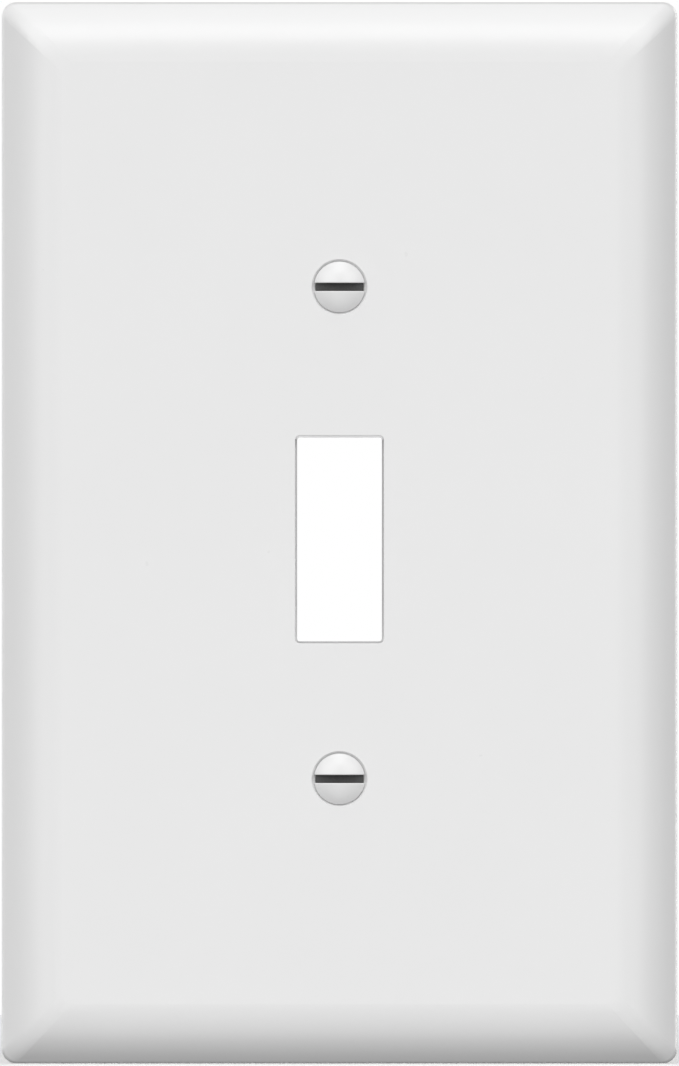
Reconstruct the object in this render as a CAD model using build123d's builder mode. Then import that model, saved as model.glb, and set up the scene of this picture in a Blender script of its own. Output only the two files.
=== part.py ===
"""Toggle-switch wall plate: a moulded cover plate, the two oval-head screws that hold it
to a switch, and the fibre washers that keep those screws in the plate.

Millimetres, +Z up. The plate faces -Y. The wall is the plane y = 0, and the origin lies
on it, midway between the two screws. A level is a distance out from the wall, towards
the room: it is the offset of a sketch on Plane.XZ.
"""

from build123d import *

import os
from math import asin, cos, degrees, radians, sin, sqrt, tan

# ---- plate -------------------------------------------------------------------------
PLATE_WIDTH = 82.9
PLATE_HEIGHT = 130.3
PLATE_DEPTH = 6.4  # from the wall to the flat front
FACE_THICKNESS = 2.3
RIM_THICKNESS = 2.0  # of the edge that meets the wall
BEVEL_WIDTH = 7.4  # from the outline to the flat front, seen from the front
BEVEL_RADIUS = 9.2  # the long arc that rolls off the flat front
EDGE_RADIUS = 1.2  # the short arc between the long arc and the rim
OUTLINE_CORNER_RADIUS = 1.75
FACE_CORNER_RADIUS = 1.2  # where the bevel meets the flat front
POCKET_CORNER_RADIUS = 1.0  # of the hollow, at the wall
RIM_CHAMFER = 0.25

# ---- toggle opening ----------------------------------------------------------------
OPENING_WIDTH = 10.4  # at its narrow end, the back of the collar
OPENING_HEIGHT = 25.0
OPENING_CORNER_RADIUS = 0.35
OPENING_DRAFT = 4.0  # degrees that each wall leans, so that it widens to the front
OPENING_DROP = 0.8  # its centre is this far below the midpoint of the screws
OPENING_EDGE_RADIUS = 0.1
COLLAR_THICKNESS = 1.2
COLLAR_HEIGHT = 1.0

# ---- No. 6-32 oval-head screw ------------------------------------------------------
SCREW_SPACING = 60.325
HEAD_RADIUS = 3.12
HEAD_LAND = 0.12  # straight edge between the dome and the cone
DOME_HEIGHT = 0.95
SINK_ANGLE = 82.0  # of the cone under the head, and of the countersink
SLOT_WIDTH = 0.98
SLOT_DEPTH = 1.25  # from the top of the dome
SLOT_EDGE_RADIUS = 0.12  # where the slot meets the dome
SCREW_LENGTH = 12.7  # from the widest part of the head to the tip
THREAD_RADIUS = 1.7525
THREAD_PITCH = 25.4 / 32
THREAD_DEPTH = 0.43
CREST_FLAT = 1 / 8  # width of the crest, as a share of the pitch
FLANK_ANGLE = 30.0  # of each side of the thread, from square to the axis
THREAD_TOP = 1.55  # level that the thread comes up to, to the nearest whole turn
NECK_RELIEF = 0.02  # how far the neck lies inside the root of the thread
TIP_CHAMFER = 0.45

# ---- retaining washer --------------------------------------------------------------
WASHER_THICKNESS = 0.4
WASHER_LAP = 1.9  # how far it reaches past the screw hole
WASHER_BORE_CLEARANCE = 0.04
WASHER_GAP = 0.05  # between the washer and the top of the thread

# ---- screw holes in the plate ------------------------------------------------------
HOLE_CLEARANCE = 0.23  # round the thread
SINK_MARGIN = 0.31  # round the head, at the front
SEAT_CLEARANCE = 0.17  # between the two cones
BOSS_MARGIN = 0.9  # round the washer
BOSS_HEIGHT = 0.4

# ---- ribs and ejector pads on the back of the face ---------------------------------
RIB_THICKNESS = 1.1
RIB_HEIGHT = 1.5
RIB_OVERLAP = 0.5  # how far the ends of a rib run into the wall of the hollow
LONG_RIB_INSET = 18.45  # from the outline to the middle of the rib
CROSS_RIB_INSET = 19.15
PAD_RADIUS = 2.5
PAD_HEIGHT = 0.25
PAD_INSET = 10.5

# ---- how finely curves are divided -------------------------------------------------
LONG_ARC_STEPS = 8
SHORT_ARC_STEPS = 4
FLANK_STEPS = 6
CREST_MARGIN = 0.05  # how far a turn of thread stands out before it is trimmed

face_back = PLATE_DEPTH - FACE_THICKNESS
opening_spread = (FACE_THICKNESS + COLLAR_HEIGHT) * tan(radians(OPENING_DRAFT))
sink_slope = tan(radians(SINK_ANGLE / 2))  # radius gained per millimetre of level
hole_radius = THREAD_RADIUS + HOLE_CLEARANCE
sink_radius = HEAD_RADIUS + SINK_MARGIN
washer_radius = hole_radius + WASHER_LAP
root_radius = THREAD_RADIUS - THREAD_DEPTH
neck_radius = root_radius - NECK_RELIEF


# ---- profile of the bevel ----------------------------------------------------------
def long_arc(turn, inwards=0.0):
    """(inset from the outline, level) on the long arc, turn degrees from the flat front.
    inwards gives the same arc that far inside the plate."""
    radius = BEVEL_RADIUS - inwards
    inset = BEVEL_WIDTH - radius * sin(radians(turn))
    level = PLATE_DEPTH - BEVEL_RADIUS + radius * cos(radians(turn))
    return inset, level


def short_arc(turn):
    """(inset, level) on the short arc, which stands upright on the rim at 90 degrees."""
    centre_distance = BEVEL_RADIUS - EDGE_RADIUS
    centre_rise = sqrt(centre_distance**2 - (BEVEL_WIDTH - EDGE_RADIUS) ** 2)
    inset = EDGE_RADIUS - EDGE_RADIUS * sin(radians(turn))
    level = PLATE_DEPTH - BEVEL_RADIUS + centre_rise + EDGE_RADIUS * cos(radians(turn))
    return inset, level


def spread(first, last, steps):
    """steps + 1 evenly spaced values from first to last."""
    return [first + (last - first) * i / steps for i in range(steps + 1)]


def outline(inset, level, corner_radius):
    """A rounded rectangle at a level, inset from the outline of the plate."""
    with BuildSketch(Plane.XZ.offset(level)) as section:
        RectangleRounded(
            PLATE_WIDTH - 2 * inset, PLATE_HEIGHT - 2 * inset, corner_radius
        )
    return section.sketch


def outlines(profile, rim_inset, rim_corner_radius):
    """Outlines through the profile, with corners that change evenly towards the flat front."""
    growth = (FACE_CORNER_RADIUS - rim_corner_radius) / (BEVEL_WIDTH - rim_inset)
    return [
        outline(inset, level, rim_corner_radius + growth * (inset - rim_inset))
        for inset, level in profile
    ]


arcs_meet = degrees(asin((BEVEL_WIDTH - EDGE_RADIUS) / (BEVEL_RADIUS - EDGE_RADIUS)))
pocket_turn = degrees(
    asin((BEVEL_WIDTH - RIM_THICKNESS) / (BEVEL_RADIUS - FACE_THICKNESS))
)
edge_profile = [short_arc(turn) for turn in spread(90, arcs_meet, SHORT_ARC_STEPS)]
bevel_profile = [long_arc(turn) for turn in spread(arcs_meet, 0, LONG_ARC_STEPS)]
pocket_profile = [
    long_arc(turn, FACE_THICKNESS) for turn in spread(pocket_turn, 0, LONG_ARC_STEPS)
]
rim_level = edge_profile[0][1]
pocket_level = pocket_profile[0][1]

# the sloping wall of the hollow, where the foot of a rib meets it
pocket_radius = BEVEL_RADIUS - FACE_THICKNESS
slope_run = sqrt(pocket_radius**2 - (pocket_radius - RIB_HEIGHT) ** 2)
rib_inset = BEVEL_WIDTH - slope_run - RIB_OVERLAP

# ---- plate -------------------------------------------------------------------------
with BuildPart() as wall_plate:
    extrude(outline(0, 0, OUTLINE_CORNER_RADIUS), amount=rim_level)
    loft(outlines(edge_profile, 0, OUTLINE_CORNER_RADIUS))
    loft(outlines(bevel_profile, 0, OUTLINE_CORNER_RADIUS))
    chamfer(wall_plate.faces().sort_by(Axis.Y)[-1].edges(), RIM_CHAMFER)

    # the hollow back
    extrude(
        outline(RIM_THICKNESS, 0, POCKET_CORNER_RADIUS),
        amount=pocket_level,
        mode=Mode.SUBTRACT,
    )
    loft(
        outlines(pocket_profile, RIM_THICKNESS, POCKET_CORNER_RADIUS),
        mode=Mode.SUBTRACT,
    )

    # collar round the opening
    with BuildSketch(Plane.XZ.offset(face_back)):
        with Locations((0, -OPENING_DROP)):
            Rectangle(
                OPENING_WIDTH + 2 * COLLAR_THICKNESS,
                OPENING_HEIGHT + 2 * COLLAR_THICKNESS,
            )
    extrude(amount=-COLLAR_HEIGHT)

    # bosses behind the screw holes
    with BuildSketch(Plane.XZ.offset(face_back)):
        with GridLocations(0, SCREW_SPACING, 1, 2):
            Circle(washer_radius + BOSS_MARGIN)
    extrude(amount=-BOSS_HEIGHT)

    # ejector pads
    with BuildSketch(Plane.XZ.offset(face_back)):
        with GridLocations(
            PLATE_WIDTH - 2 * PAD_INSET, PLATE_HEIGHT / 2 - PAD_INSET, 2, 3
        ):
            Circle(PAD_RADIUS)
    extrude(amount=-PAD_HEIGHT)

    # ribs, which run into the sloping wall of the hollow at both ends
    with BuildSketch(Plane.XZ.offset(face_back)):
        with GridLocations(PLATE_WIDTH - 2 * LONG_RIB_INSET, 0, 2, 1):
            Rectangle(RIB_THICKNESS, PLATE_HEIGHT - 2 * rib_inset)
        with GridLocations(0, PLATE_HEIGHT - 2 * CROSS_RIB_INSET, 1, 2):
            Rectangle(PLATE_WIDTH - 2 * rib_inset, RIB_THICKNESS)
    extrude(amount=-RIB_HEIGHT)

    # toggle opening, with leaning walls and a rounded front edge
    with BuildSketch(Plane.XZ.offset(PLATE_DEPTH)):
        with Locations((0, -OPENING_DROP)):
            RectangleRounded(
                OPENING_WIDTH + 2 * opening_spread,
                OPENING_HEIGHT + 2 * opening_spread,
                OPENING_CORNER_RADIUS + opening_spread,
            )
    extrude(amount=-PLATE_DEPTH, taper=OPENING_DRAFT, mode=Mode.SUBTRACT)
    front = wall_plate.faces().sort_by(Axis.Y)[0]
    fillet(front.inner_wires().edges(), OPENING_EDGE_RADIUS)

    # countersunk holes for the screws
    with Locations(Plane.XZ.offset(PLATE_DEPTH)):
        with GridLocations(0, SCREW_SPACING, 1, 2):
            CounterSinkHole(hole_radius, sink_radius, counter_sink_angle=SINK_ANGLE)


# ---- screws ------------------------------------------------------------------------
seat_level = (
    PLATE_DEPTH - SINK_MARGIN / sink_slope + SEAT_CLEARANCE / sin(radians(SINK_ANGLE / 2))
)
neck_level = seat_level - (HEAD_RADIUS - neck_radius) / sink_slope
dome_level = seat_level + HEAD_LAND + DOME_HEIGHT
tip_level = seat_level - SCREW_LENGTH
turns = round((THREAD_TOP - tip_level) / THREAD_PITCH)
thread_top = tip_level + turns * THREAD_PITCH


def polar(radius, turn):
    """A point on the cross-section of the thread, turn being a share of a full turn."""
    angle = radians(360 * turn)
    return radius * cos(angle), radius * sin(angle)


def half_section(height):
    """The plane through a screw's axis, where x is the radius and y is the level."""
    return Plane(origin=(0, 0, height), x_dir=(1, 0, 0), z_dir=(0, 0, -1))


def screw_axis(height):
    return Axis((0, 0, height), (0, -1, 0))


def thread_turn(height):
    """One turn of thread at the tip: its cross-section, turned once as it is drawn out.
    The crest stands out a little, to be trimmed to a true cylinder."""
    flank = tan(radians(FLANK_ANGLE))
    crest_radius = THREAD_RADIUS + CREST_MARGIN
    crest = CREST_FLAT / 2 - CREST_MARGIN * flank / THREAD_PITCH
    foot = CREST_FLAT / 2 + THREAD_DEPTH * flank / THREAD_PITCH
    side = [
        (
            crest_radius + share * (root_radius - crest_radius),
            crest + share * (foot - crest),
        )
        for share in spread(0, 1, FLANK_STEPS)
    ]
    tip = Plane(origin=(0, -tip_level, height), x_dir=(1, 0, 0), z_dir=(0, -1, 0))
    with BuildSketch(tip) as section:
        with BuildLine():
            CenterArc((0, 0), crest_radius, -360 * crest, 720 * crest)
            Spline([polar(radius, turn) for radius, turn in side])
            CenterArc((0, 0), root_radius, 360 * foot, 360 * (1 - 2 * foot))
            Spline([polar(radius, -turn) for radius, turn in side])
        make_face()
    return Solid.extrude_linear_with_rotation(
        section.sketch.face(),
        center=tip.origin,
        normal=tip.z_dir * THREAD_PITCH,
        angle=360,
    )


def threaded_length(height):
    """Every turn of the thread, trimmed by a blank with a cone at each end."""
    with BuildPart() as blank:
        with BuildSketch(half_section(height)):
            Polygon(
                (0, tip_level),
                (THREAD_RADIUS - TIP_CHAMFER, tip_level),
                (THREAD_RADIUS, tip_level + TIP_CHAMFER),
                (THREAD_RADIUS, thread_top - THREAD_RADIUS + neck_radius),
                (neck_radius, thread_top),
                (0, thread_top),
                align=None,
            )
        revolve(axis=screw_axis(height))
    first = thread_turn(height)
    return [
        Pos(0, -turn * THREAD_PITCH, 0) * first & blank.part for turn in range(turns)
    ]


def screw(height):
    """An oval-head screw whose axis is this far above the origin."""
    threads = threaded_length(height)
    with BuildPart() as made:
        add(threads)

        # neck and head
        with BuildSketch(half_section(height)):
            with BuildLine():
                TangentArc(
                    (0, dome_level), (HEAD_RADIUS, seat_level + HEAD_LAND), tangent=(1, 0)
                )
                Polyline(
                    (HEAD_RADIUS, seat_level + HEAD_LAND),
                    (HEAD_RADIUS, seat_level),
                    (neck_radius, neck_level),
                    (neck_radius, thread_top),
                    (0, thread_top),
                    (0, dome_level),
                )
            make_face()
        revolve(axis=screw_axis(height))

        # slot across the dome
        with BuildSketch(Plane.XZ.offset(dome_level)):
            with Locations((0, height)):
                Rectangle(2 * HEAD_RADIUS, SLOT_WIDTH)
        extrude(amount=-SLOT_DEPTH, mode=Mode.SUBTRACT)
        dome = made.faces().filter_by(GeomType.SPHERE)
        fillet(dome.edges().filter_by(Plane.XY), SLOT_EDGE_RADIUS)
    return made


def retaining_washer(height):
    """A flat washer on the neck of a screw, just clear of the thread."""
    with BuildPart() as made:
        with BuildSketch(Plane.XZ.offset(thread_top + WASHER_GAP)):
            with Locations((0, height)):
                Circle(washer_radius)
                Circle(neck_radius + WASHER_BORE_CLEARANCE, mode=Mode.SUBTRACT)
        extrude(amount=WASHER_THICKNESS)
    return made


pieces = {"wall_plate": wall_plate}
for end, height in ("upper", SCREW_SPACING / 2), ("lower", -SCREW_SPACING / 2):
    pieces[f"{end}_screw"] = screw(height)
    pieces[f"{end}_washer"] = retaining_washer(height)

os.makedirs("parts", exist_ok=True)
for name, piece in pieces.items():
    piece.part.label = name
    export_step(piece.part, f"parts/{name}.step")
    print(name, "valid", piece.part.is_valid, "volume", round(piece.part.volume, 1))
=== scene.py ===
"""Looks for the toggle-switch wall plate: camera, studio light, floor and materials round
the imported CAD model. Metres, in the CAD model's own frame: +Z up, the plate facing -Y,
the wall plane at y = 0 and the origin midway between the two screws."""

from math import atan, cos, pi, radians, sin

import bpy
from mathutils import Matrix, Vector


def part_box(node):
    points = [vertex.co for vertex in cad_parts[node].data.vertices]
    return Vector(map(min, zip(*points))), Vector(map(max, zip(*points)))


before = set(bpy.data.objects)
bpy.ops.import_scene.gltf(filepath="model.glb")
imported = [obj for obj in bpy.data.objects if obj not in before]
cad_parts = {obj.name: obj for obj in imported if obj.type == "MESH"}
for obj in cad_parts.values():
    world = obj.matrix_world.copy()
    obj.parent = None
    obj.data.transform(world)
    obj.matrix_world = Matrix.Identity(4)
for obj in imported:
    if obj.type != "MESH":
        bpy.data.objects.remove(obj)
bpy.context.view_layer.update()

MM = 0.001
plate_low, plate_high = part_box("wall_plate")
plate_middle = (plate_low + plate_high) / 2
plate_half = (plate_high - plate_low) / 2
screw_low, screw_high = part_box("upper_screw")
screw_height = (screw_low.z + screw_high.z) / 2  # of the upper one; the lower mirrors it
washer_low, washer_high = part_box("upper_washer")
washer_radius = (washer_high.z - washer_low.z) / 2

# ---- camera ------------------------------------------------------------------------
CAMERA_DISTANCE = 3.0  # a long lens, so that the walls of the opening don't show
FRAMING = 1.0032  # height of the picture, in heights of the plate
FAR_LIMIT = 20  # nothing farther than this is drawn


def make_camera():
    """Square on to the plate, which all but fills the picture."""
    data = bpy.data.cameras.new("camera")
    camera = bpy.data.objects.new("camera", data)
    bpy.context.scene.collection.objects.link(camera)
    data.sensor_fit = "VERTICAL"
    data.angle = 2 * atan(plate_half.z * FRAMING / CAMERA_DISTANCE)
    data.clip_end = FAR_LIMIT
    camera.location = (plate_middle.x, plate_low.y - CAMERA_DISTANCE, plate_middle.z)
    camera.rotation_euler = (radians(90), 0, 0)
    bpy.context.scene.camera = camera


# ---- light -------------------------------------------------------------------------
# Strength 1 brings a matt white surface that squarely faces the light to full white.
# The strengths aren't design values. A least-squares fit of one-light renders to the
# brightness of the photographed plate gave all of them but rim_below's, and camera_side,
# softbox_left, rim_right and bounce_below were then changed.
# name: (degrees round to the left of the front, degrees up, width in degrees, strength)
LIGHTS = {
    "camera_side": (0, 0, 20, 0.066),
    "softbox_left": (30, 20, 40, 0.322),
    "softbox_right": (-30, 20, 40, 0.286),
    "softbox_above": (0, 50, 30, 0.207),
    "overhead": (0, 85, 40, 0.176),
    "side_left": (100, 10, 40, 0.088),
    "rim_left": (130, 10, 40, 0.286),
    "rim_right": (-130, 10, 40, 0.43),
    "bounce_below": (0, -35, 40, 0.125),
    "rim_below": (180, -20, 40, 0.16),
}
AMBIENT = 0.08


def make_light(name, azimuth, elevation, width, strength):
    """A large soft light far away from the plate."""
    data = bpy.data.lights.new(name, "SUN")
    data.energy = pi * strength
    data.angle = radians(width)
    light = bpy.data.objects.new(name, data)
    bpy.context.scene.collection.objects.link(light)
    turn, rise = radians(azimuth), radians(elevation)
    towards = Vector((-sin(turn) * cos(rise), -cos(turn) * cos(rise), sin(rise)))
    light.rotation_euler = towards.to_track_quat("Z", "Y").to_euler()


def make_world():
    """A white studio: plain white to the camera, and dim as a source of light."""
    world = bpy.data.worlds.new("studio")
    bpy.context.scene.world = world
    world.use_nodes = True
    nodes, links = world.node_tree.nodes, world.node_tree.links
    path = nodes.new("ShaderNodeLightPath")
    strength = nodes.new("ShaderNodeMapRange")
    strength.inputs["To Min"].default_value = AMBIENT
    strength.inputs["To Max"].default_value = 1.0
    links.new(path.outputs["Is Camera Ray"], strength.inputs["Value"])
    links.new(strength.outputs["Result"], nodes["Background"].inputs["Strength"])
    nodes["Background"].inputs["Color"].default_value = grey(1.0)
    bpy.context.scene.view_settings.view_transform = "Standard"


# ---- materials ---------------------------------------------------------------------
def grey(level):
    return (level, level, level, 1.0)


class Material:
    """A Principled material, with short ways to add the nodes that the finishes need."""

    def __init__(self, name):
        self.made = bpy.data.materials.new(name)
        self.made.use_nodes = True
        self.tree = self.made.node_tree
        self.shader = self.tree.nodes["Principled BSDF"]
        coordinates = self.node("ShaderNodeTexCoord")
        self.place = coordinates.outputs["Object"]
        self.x, self.y, self.z = self.parts(self.place)
        self.facing = self.parts(coordinates.outputs["Normal"])

    def node(self, kind, **settings):
        made = self.tree.nodes.new(kind)
        for name, value in settings.items():
            setattr(made, name, value)
        return made

    def join(self, value, socket):
        """Links an output to a socket, or sets a plain number or colour on it."""
        if isinstance(value, bpy.types.NodeSocket):
            self.tree.links.new(value, socket)
        else:
            socket.default_value = value

    def set(self, **values):
        for name, value in values.items():
            self.join(value, self.shader.inputs[name.replace("_", " ")])

    def parts(self, vector):
        made = self.node("ShaderNodeSeparateXYZ")
        self.join(vector, made.inputs["Vector"])
        return [made.outputs[axis] for axis in "XYZ"]

    def vector(self, *numbers):
        made = self.node("ShaderNodeCombineXYZ")
        for number, axis in zip(numbers, "XYZ"):
            self.join(number, made.inputs[axis])
        return made.outputs["Vector"]

    def maths(self, kind, *numbers):
        made = self.node("ShaderNodeMath", operation=kind)
        for number, socket in zip(numbers, made.inputs):
            self.join(number, socket)
        return made.outputs["Value"]

    def noise(self, size, detail=2.0, place=None, stretch=(1, 1, 1)):
        """Noise whose lumps are about this many metres across."""
        scaled = self.node("ShaderNodeVectorMath", operation="MULTIPLY")
        self.join(place or self.place, scaled.inputs[0])
        self.join([1 / (size * s) for s in stretch], scaled.inputs[1])
        made = self.node("ShaderNodeTexNoise")
        made.inputs["Scale"].default_value = 1.0
        made.inputs["Detail"].default_value = detail
        self.join(scaled.outputs["Vector"], made.inputs["Vector"])
        return made.outputs["Fac"]

    def ramp(self, value, low, high, to_low=0.0, to_high=1.0):
        """Goes smoothly from to_low to to_high while value goes from low to high."""
        made = self.node("ShaderNodeMapRange", interpolation_type="SMOOTHSTEP")
        for number, socket in zip((value, low, high, to_low, to_high), made.inputs):
            self.join(number, socket)
        return made.outputs["Result"]

    def below(self, value, limit, blur):
        """1 where value is below limit, and 0 from limit + blur upwards."""
        return self.ramp(value, limit, limit + blur, 1.0, 0.0)

    def every(self, *masks):
        """Where all the masks are 1."""
        both = masks[0]
        for mask in masks[1:]:
            both = self.maths("MULTIPLY", both, mask)
        return both

    def mix(self, share, first, second):
        """Goes from the first colour to the second while share goes from 0 to 1."""
        made = self.node("ShaderNodeMix", data_type="RGBA")
        colours = [socket for socket in made.inputs if socket.type == "RGBA"]
        self.join(share, made.inputs["Factor"])
        self.join(first, colours[0])
        self.join(second, colours[1])
        return [socket for socket in made.outputs if socket.type == "RGBA"][0]

    def blend(self, share, first, second):
        """The same for numbers."""
        made = self.node("ShaderNodeMapRange")
        self.join(share, made.inputs["Value"])
        self.join(first, made.inputs["To Min"])
        self.join(second, made.inputs["To Max"])
        return made.outputs["Result"]

    def bump(self, height, depth, before=None):
        """Bumps this many metres deep, on top of those before."""
        made = self.node("ShaderNodeBump")
        made.inputs["Distance"].default_value = depth
        self.join(height, made.inputs["Height"])
        if before:
            self.join(before, made.inputs["Normal"])
        return made.outputs["Normal"]

    def from_axis(self):
        """Height above the axis of whichever screw is nearer, and distance from it."""
        rise = self.maths("SUBTRACT", self.maths("ABSOLUTE", self.z), screw_height)
        across = self.node("ShaderNodeVectorMath", operation="LENGTH")
        self.join(self.vector(self.x, rise, 0.0), across.inputs[0])
        return rise, across.outputs["Value"]


RIM_THICKNESS = 2.0 * MM
RIM_BLUR = 0.3 * MM
PAD_INSET = 10.5 * MM  # of an ejector pad's centre from the outline of the plate
PAD_RADIUS = 2.5 * MM
TURNING_PITCH = 0.32 * MM  # of the rings that the turned ejector pins leave
TURNING_DEPTH = 0.004 * MM
RIPPLE_SIZE, RIPPLE_DEPTH = 0.9 * MM, 0.0014 * MM
GRAIN_SIZE, GRAIN_DEPTH = 0.16 * MM, 0.006 * MM


def moulded_plastic():
    """White thermoplastic. The polished front of the mould leaves a satin gloss with a very
    fine ripple. The hollow back is matt and grained, and its ejector pads carry rings."""
    m = Material("moulded_plastic")
    beside, above = m.maths("ABSOLUTE", m.x), m.maths("ABSOLUTE", m.z)
    hollow = m.every(
        m.ramp(m.facing[1], -0.06, -0.01),
        m.below(beside, plate_half.x - RIM_THICKNESS, RIM_BLUR),
        m.below(above, plate_half.z - RIM_THICKNESS, RIM_BLUR),
    )

    pad_x, pad_z = plate_half.x - PAD_INSET, plate_half.z - PAD_INSET
    from_pad = m.node("ShaderNodeVectorMath", operation="LENGTH")
    near = m.maths("MINIMUM", above, m.maths("ABSOLUTE", m.maths("SUBTRACT", above, pad_z)))
    m.join(m.vector(m.maths("SUBTRACT", beside, pad_x), near, 0.0), from_pad.inputs[0])
    out = from_pad.outputs["Value"]
    ring = m.maths("SINE", m.maths("MULTIPLY", out, 2 * pi / TURNING_PITCH))
    pad = m.every(hollow, m.below(out, PAD_RADIUS, 0.02 * MM))

    cloud = m.noise(22 * MM, detail=1.0)
    m.set(
        Base_Color=m.mix(cloud, grey(0.862), grey(0.876)),
        Roughness=m.blend(
            hollow,
            m.blend(m.noise(2.4 * MM), 0.26, 0.33),
            m.blend(m.noise(0.5 * MM), 0.52, 0.68),
        ),
    )
    ripple = m.bump(m.noise(RIPPLE_SIZE), RIPPLE_DEPTH)
    grain = m.bump(m.every(hollow, m.noise(GRAIN_SIZE, detail=3.0)), GRAIN_DEPTH, ripple)
    m.set(Normal=m.bump(m.every(pad, ring), TURNING_DEPTH, grain))
    return m.made


SLOT_HALF_WIDTH = 0.49 * MM
SLOT_REACH = 1.7 * MM  # below the top of the dome, safely past the floor of the slot
HEAD_RISE = 1.07 * MM  # from the back of the head's straight edge to the top of the dome
PAINT_EDGE = 0.1 * MM  # how far the paint runs on from there, down the cone
PAINT_RAGGEDNESS = 0.08 * MM
PEEL_SIZE, PEEL_DEPTH = 0.5 * MM, 0.0016 * MM
ROLLING_SIZE, ROLLING_DEPTH = 0.06 * MM, 0.003 * MM


def painted_screw():
    """Zinc-plated steel with a white enamelled head. The slot is coloured near-black, a
    painted shade.
    """
    m = Material("painted_screw")
    rise = m.from_axis()[0]
    behind = m.maths("SUBTRACT", m.y, screw_low.y)  # below the top of the dome
    edge = m.blend(m.noise(0.35 * MM), -PAINT_RAGGEDNESS, PAINT_RAGGEDNESS)
    painted = m.below(m.maths("ADD", behind, edge), HEAD_RISE + PAINT_EDGE, 0.12 * MM)
    # The slot gets a near-black colour instead of enamel: painted shade.
    slot_shade = m.every(
        m.below(m.maths("ABSOLUTE", rise), SLOT_HALF_WIDTH, 0.012 * MM),
        m.below(behind, SLOT_REACH, 0.01 * MM),
        m.below(m.facing[1], 0.1, 0.1),
    )
    enamel = m.every(painted, m.maths("SUBTRACT", 1.0, slot_shade))

    tarnish = m.noise(0.45 * MM, detail=4.0)
    zinc = m.mix(tarnish, (0.50, 0.51, 0.52, 1), (0.68, 0.68, 0.65, 1))
    # Bare zinc where the enamel stops; in the slot a near-black grey that is painted shade.
    zinc_and_slot_shade = m.mix(slot_shade, zinc, m.mix(m.noise(0.2 * MM), grey(0.045), grey(0.085)))
    m.set(
        Base_Color=m.mix(enamel, zinc_and_slot_shade, grey(0.87)),
        Metallic=m.blend(m.maths("MAXIMUM", painted, slot_shade), 1.0, 0.0),
        Roughness=m.blend(
            enamel,
            m.blend(slot_shade, m.blend(tarnish, 0.24, 0.42), 0.6),
            m.blend(m.noise(1.2 * MM), 0.27, 0.33),
        ),
    )
    peel = m.bump(m.every(enamel, m.noise(PEEL_SIZE)), PEEL_DEPTH)
    rolled = m.noise(ROLLING_SIZE, stretch=(1, 6, 1))
    unpainted = m.maths("SUBTRACT", 1.0, enamel)
    m.set(Normal=m.bump(m.every(unpainted, rolled), ROLLING_DEPTH, peel))
    return m.made


PUNCHED_EDGE = 0.12 * MM
STRAND_SIZE, STRAND_DEPTH = 0.12 * MM, 0.012 * MM
WAVE_SIZE, WAVE_DEPTH = 1.5 * MM, 0.01 * MM


def fibre():
    """Red vulcanised fibre, punched from sheet: pressed flat, with a paler, rougher edge."""
    m = Material("fibre")
    out = m.from_axis()[1]
    edge = m.ramp(out, washer_radius - PUNCHED_EDGE, washer_radius)
    strands = m.noise(STRAND_SIZE, detail=4.0, stretch=(5, 1, 1))
    fleck = m.ramp(m.noise(0.3 * MM, detail=3.0), 0.58, 0.7)
    sheet = m.mix(strands, (0.20, 0.035, 0.022, 1), (0.36, 0.085, 0.05, 1))
    flecked = m.mix(fleck, sheet, (0.12, 0.02, 0.014, 1))
    wave = m.bump(m.noise(WAVE_SIZE), WAVE_DEPTH)
    m.set(
        Base_Color=m.mix(edge, flecked, (0.42, 0.13, 0.08, 1)),
        Roughness=m.blend(edge, m.blend(strands, 0.5, 0.68), 0.9),
        Normal=m.bump(strands, STRAND_DEPTH, wave),
    )
    return m.made


FLOOR_GLOW = 0.22


def lit_acrylic():
    """The floor: matt white acrylic, lit a little from below."""
    m = Material("lit_acrylic")
    m.set(
        Base_Color=m.mix(m.noise(60 * MM), grey(0.88), grey(0.9)),
        Roughness=m.blend(m.noise(3 * MM), 0.5, 0.6),
        Emission_Color=grey(1.0),
        Emission_Strength=FLOOR_GLOW,
        Normal=m.bump(m.noise(1.1 * MM), 0.004 * MM),
    )
    return m.made


def dress(node, material):
    """Gives a CAD node its material."""
    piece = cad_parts[node]
    piece.data.materials.clear()
    piece.data.materials.append(material)


# ---- floor -------------------------------------------------------------------------
FLOOR_HALF_WIDTH = 0.3


def make_floor():
    """A sheet that the plate stands on. It takes shadows and gives no light back, because
    the light from below is one of the lights."""
    sides = [-FLOOR_HALF_WIDTH, FLOOR_HALF_WIDTH]
    corners = [(x, y, plate_low.z) for x in sides for y in sides]
    mesh = bpy.data.meshes.new("floor")
    mesh.from_pydata(corners, [], [(0, 2, 3, 1)])
    floor = bpy.data.objects.new("floor", mesh)
    bpy.context.scene.collection.objects.link(floor)
    mesh.materials.append(lit_acrylic())
    floor.visible_diffuse = False
    floor.visible_glossy = False
    floor.visible_shadow = False


make_camera()
make_world()
for name, settings in LIGHTS.items():
    make_light(name, *settings)
make_floor()

dress("wall_plate", moulded_plastic())
screw_finish, washer_finish = painted_screw(), fibre()
for end in "upper", "lower":
    dress(f"{end}_screw", screw_finish)
    dress(f"{end}_washer", washer_finish)
